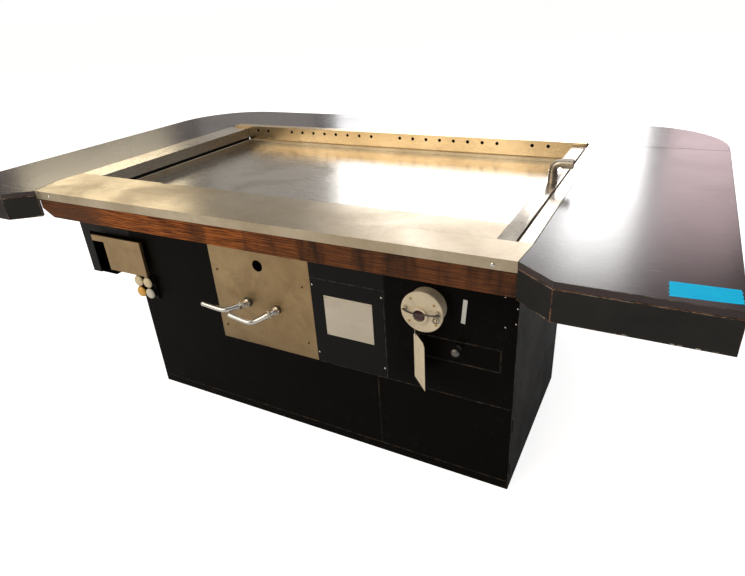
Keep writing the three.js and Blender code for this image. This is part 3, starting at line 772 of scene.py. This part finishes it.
def make_lever_nuts():
    """Grommets in the panel, packing nuts on the stems, ferrules where the arms begin."""
    for tag, x, z, body, radius, end in (
            ("left", 0.9, 446.6, "lever_left_body", 17.0, (-37.0, -728.5, 439.6)),
            ("right", 115.4, 441.1, "lever_right_body", 13.0, (60.9, -728.5, 415.4))):
        work = lathe_mesh([(0.0068, 0.0001), (radius * MM * 0.94, 0.0001), (radius * MM, 0.0008),
                           (radius * MM, 0.0016), (radius * MM * 0.9, 0.0028), (0.0075, 0.0032),
                           (0.0068, 0.0026), (0.0068, 0.0001)],
                          (x * MM, -0.6755, z * MM), (0, -1, 0), 32)
        place(f"grommet_{tag}", work, ROD, "table", "black_enamel", 40)
        hexagon(f"stem_nut_{tag}", (x, -680.2, z), (0, -1, 0), 23, 7.5, AGED, body)
        start = Vector((x - 3, -695, z - 0.5))
        along = (Vector(end) - start).normalized()
        hexagon(f"arm_nut_{tag}", start + along * 5, along, 24, 9, AGED, body)
        work = lathe_mesh([(0.0088, 0), (0.0112, 0), (0.0112, 0.0042), (0.0104, 0.0050),
                           (0.0104, 0.0065), (0.0112, 0.0073), (0.0112, 0.0115), (0.0088, 0.0120)],
                          (start + along * 15.5) * MM, along, 28)
        place(f"arm_ferrule_{tag}", work, CHROME, body, "chrome", 40)


make_shade_sheet()
make_cover_plate()
make_label()
make_tape()
make_release_fittings()
make_hinges()
make_lever_nuts()


# ---------------------------------------------------------------- floor and light

def make_floor():
    work = bmesh.new()
    reach = 400
    corners = [work.verts.new(c) for c in ((-reach, -reach, 0), (reach, -reach, 0),
                                           (reach, reach, 0), (-reach, reach, 0))]
    work.faces.new(corners)
    mesh = bpy.data.meshes.new("floor")
    work.to_mesh(mesh)
    work.free()
    mesh.materials.append(floor_finish())
    floor = bpy.data.objects.new("floor", mesh)
    bpy.context.scene.collection.objects.link(floor)


def softbox(name, azimuth, elevation, width, height, distance, power, colour=(1, 1, 1)):
    """An area light seen from the table's middle in a direction, facing it."""
    data = bpy.data.lights.new(name, "AREA")
    data.shape = "RECTANGLE"
    data.size = width
    data.size_y = height
    data.energy = power * width * height * math.pi
    data.color = colour
    light = bpy.data.objects.new(name, data)
    bpy.context.scene.collection.objects.link(light)
    a, e = math.radians(azimuth), math.radians(elevation)
    away = Vector((math.sin(a) * math.cos(e), math.cos(a) * math.cos(e), math.sin(e)))
    light.location = Vector((0.5, 0, 0.7)) + away * distance
    light.rotation_euler = away.to_track_quat("Z", "Y").to_euler()
    light.visible_camera = False
    return light


def make_lights():
    world = bpy.data.worlds.new("studio")
    bpy.context.scene.world = world
    world.use_nodes = True
    nodes, links = world.node_tree.nodes, world.node_tree.links
    nodes["Background"].inputs["Color"].default_value = (1.0, 0.96, 0.92, 1)
    nodes["Background"].inputs["Strength"].default_value = 0.17
    seen = nodes.new("ShaderNodeBackground")
    seen.inputs["Color"].default_value = (1, 1, 1, 1)
    path = nodes.new("ShaderNodeLightPath")
    choose = nodes.new("ShaderNodeMixShader")
    links.new(path.outputs["Is Camera Ray"], choose.inputs[0])
    links.new(nodes["Background"].outputs[0], choose.inputs[1])
    links.new(seen.outputs[0], choose.inputs[2])
    links.new(choose.outputs[0], nodes["World Output"].inputs["Surface"])
    softbox("window", -17.0, 16.5, 7.2, 3.5, 12, 3.8, (1.0, 0.99, 1.0))
    softbox("window_tall", -4.0, 18.0, 1.5, 4.0, 11.9, 5.0, (1.0, 0.99, 0.98))
    softbox("window_rose", 6.5, 15, 1.8, 3.4, 12, 2.2, (1.0, 0.76, 0.80))
    softbox("left_glow", -43, 14, 2.6, 3.2, 12, 0.32, (1.0, 0.94, 0.86))
    softbox("warm_left", -60, 16.3, 3.0, 1.4, 12, 4.4, (1.0, 0.86, 0.60))
    softbox("overhead", 20, 82, 8, 8, 6, 0.8)
    softbox("front_fill", 206, 30, 5.5, 3.0, 7, 2.0, (1.0, 0.89, 0.72))
    softbox("splash_fill", 209, 15, 4.4, 1.6, 7, 2.6, (1.0, 0.87, 0.66))
    softbox("side_cool", 72, 14, 3, 1.6, 7, 0.8, (0.84, 0.92, 1.0))


make_floor()
make_lights()
scene = bpy.context.scene
scene.view_settings.view_transform = "Standard"
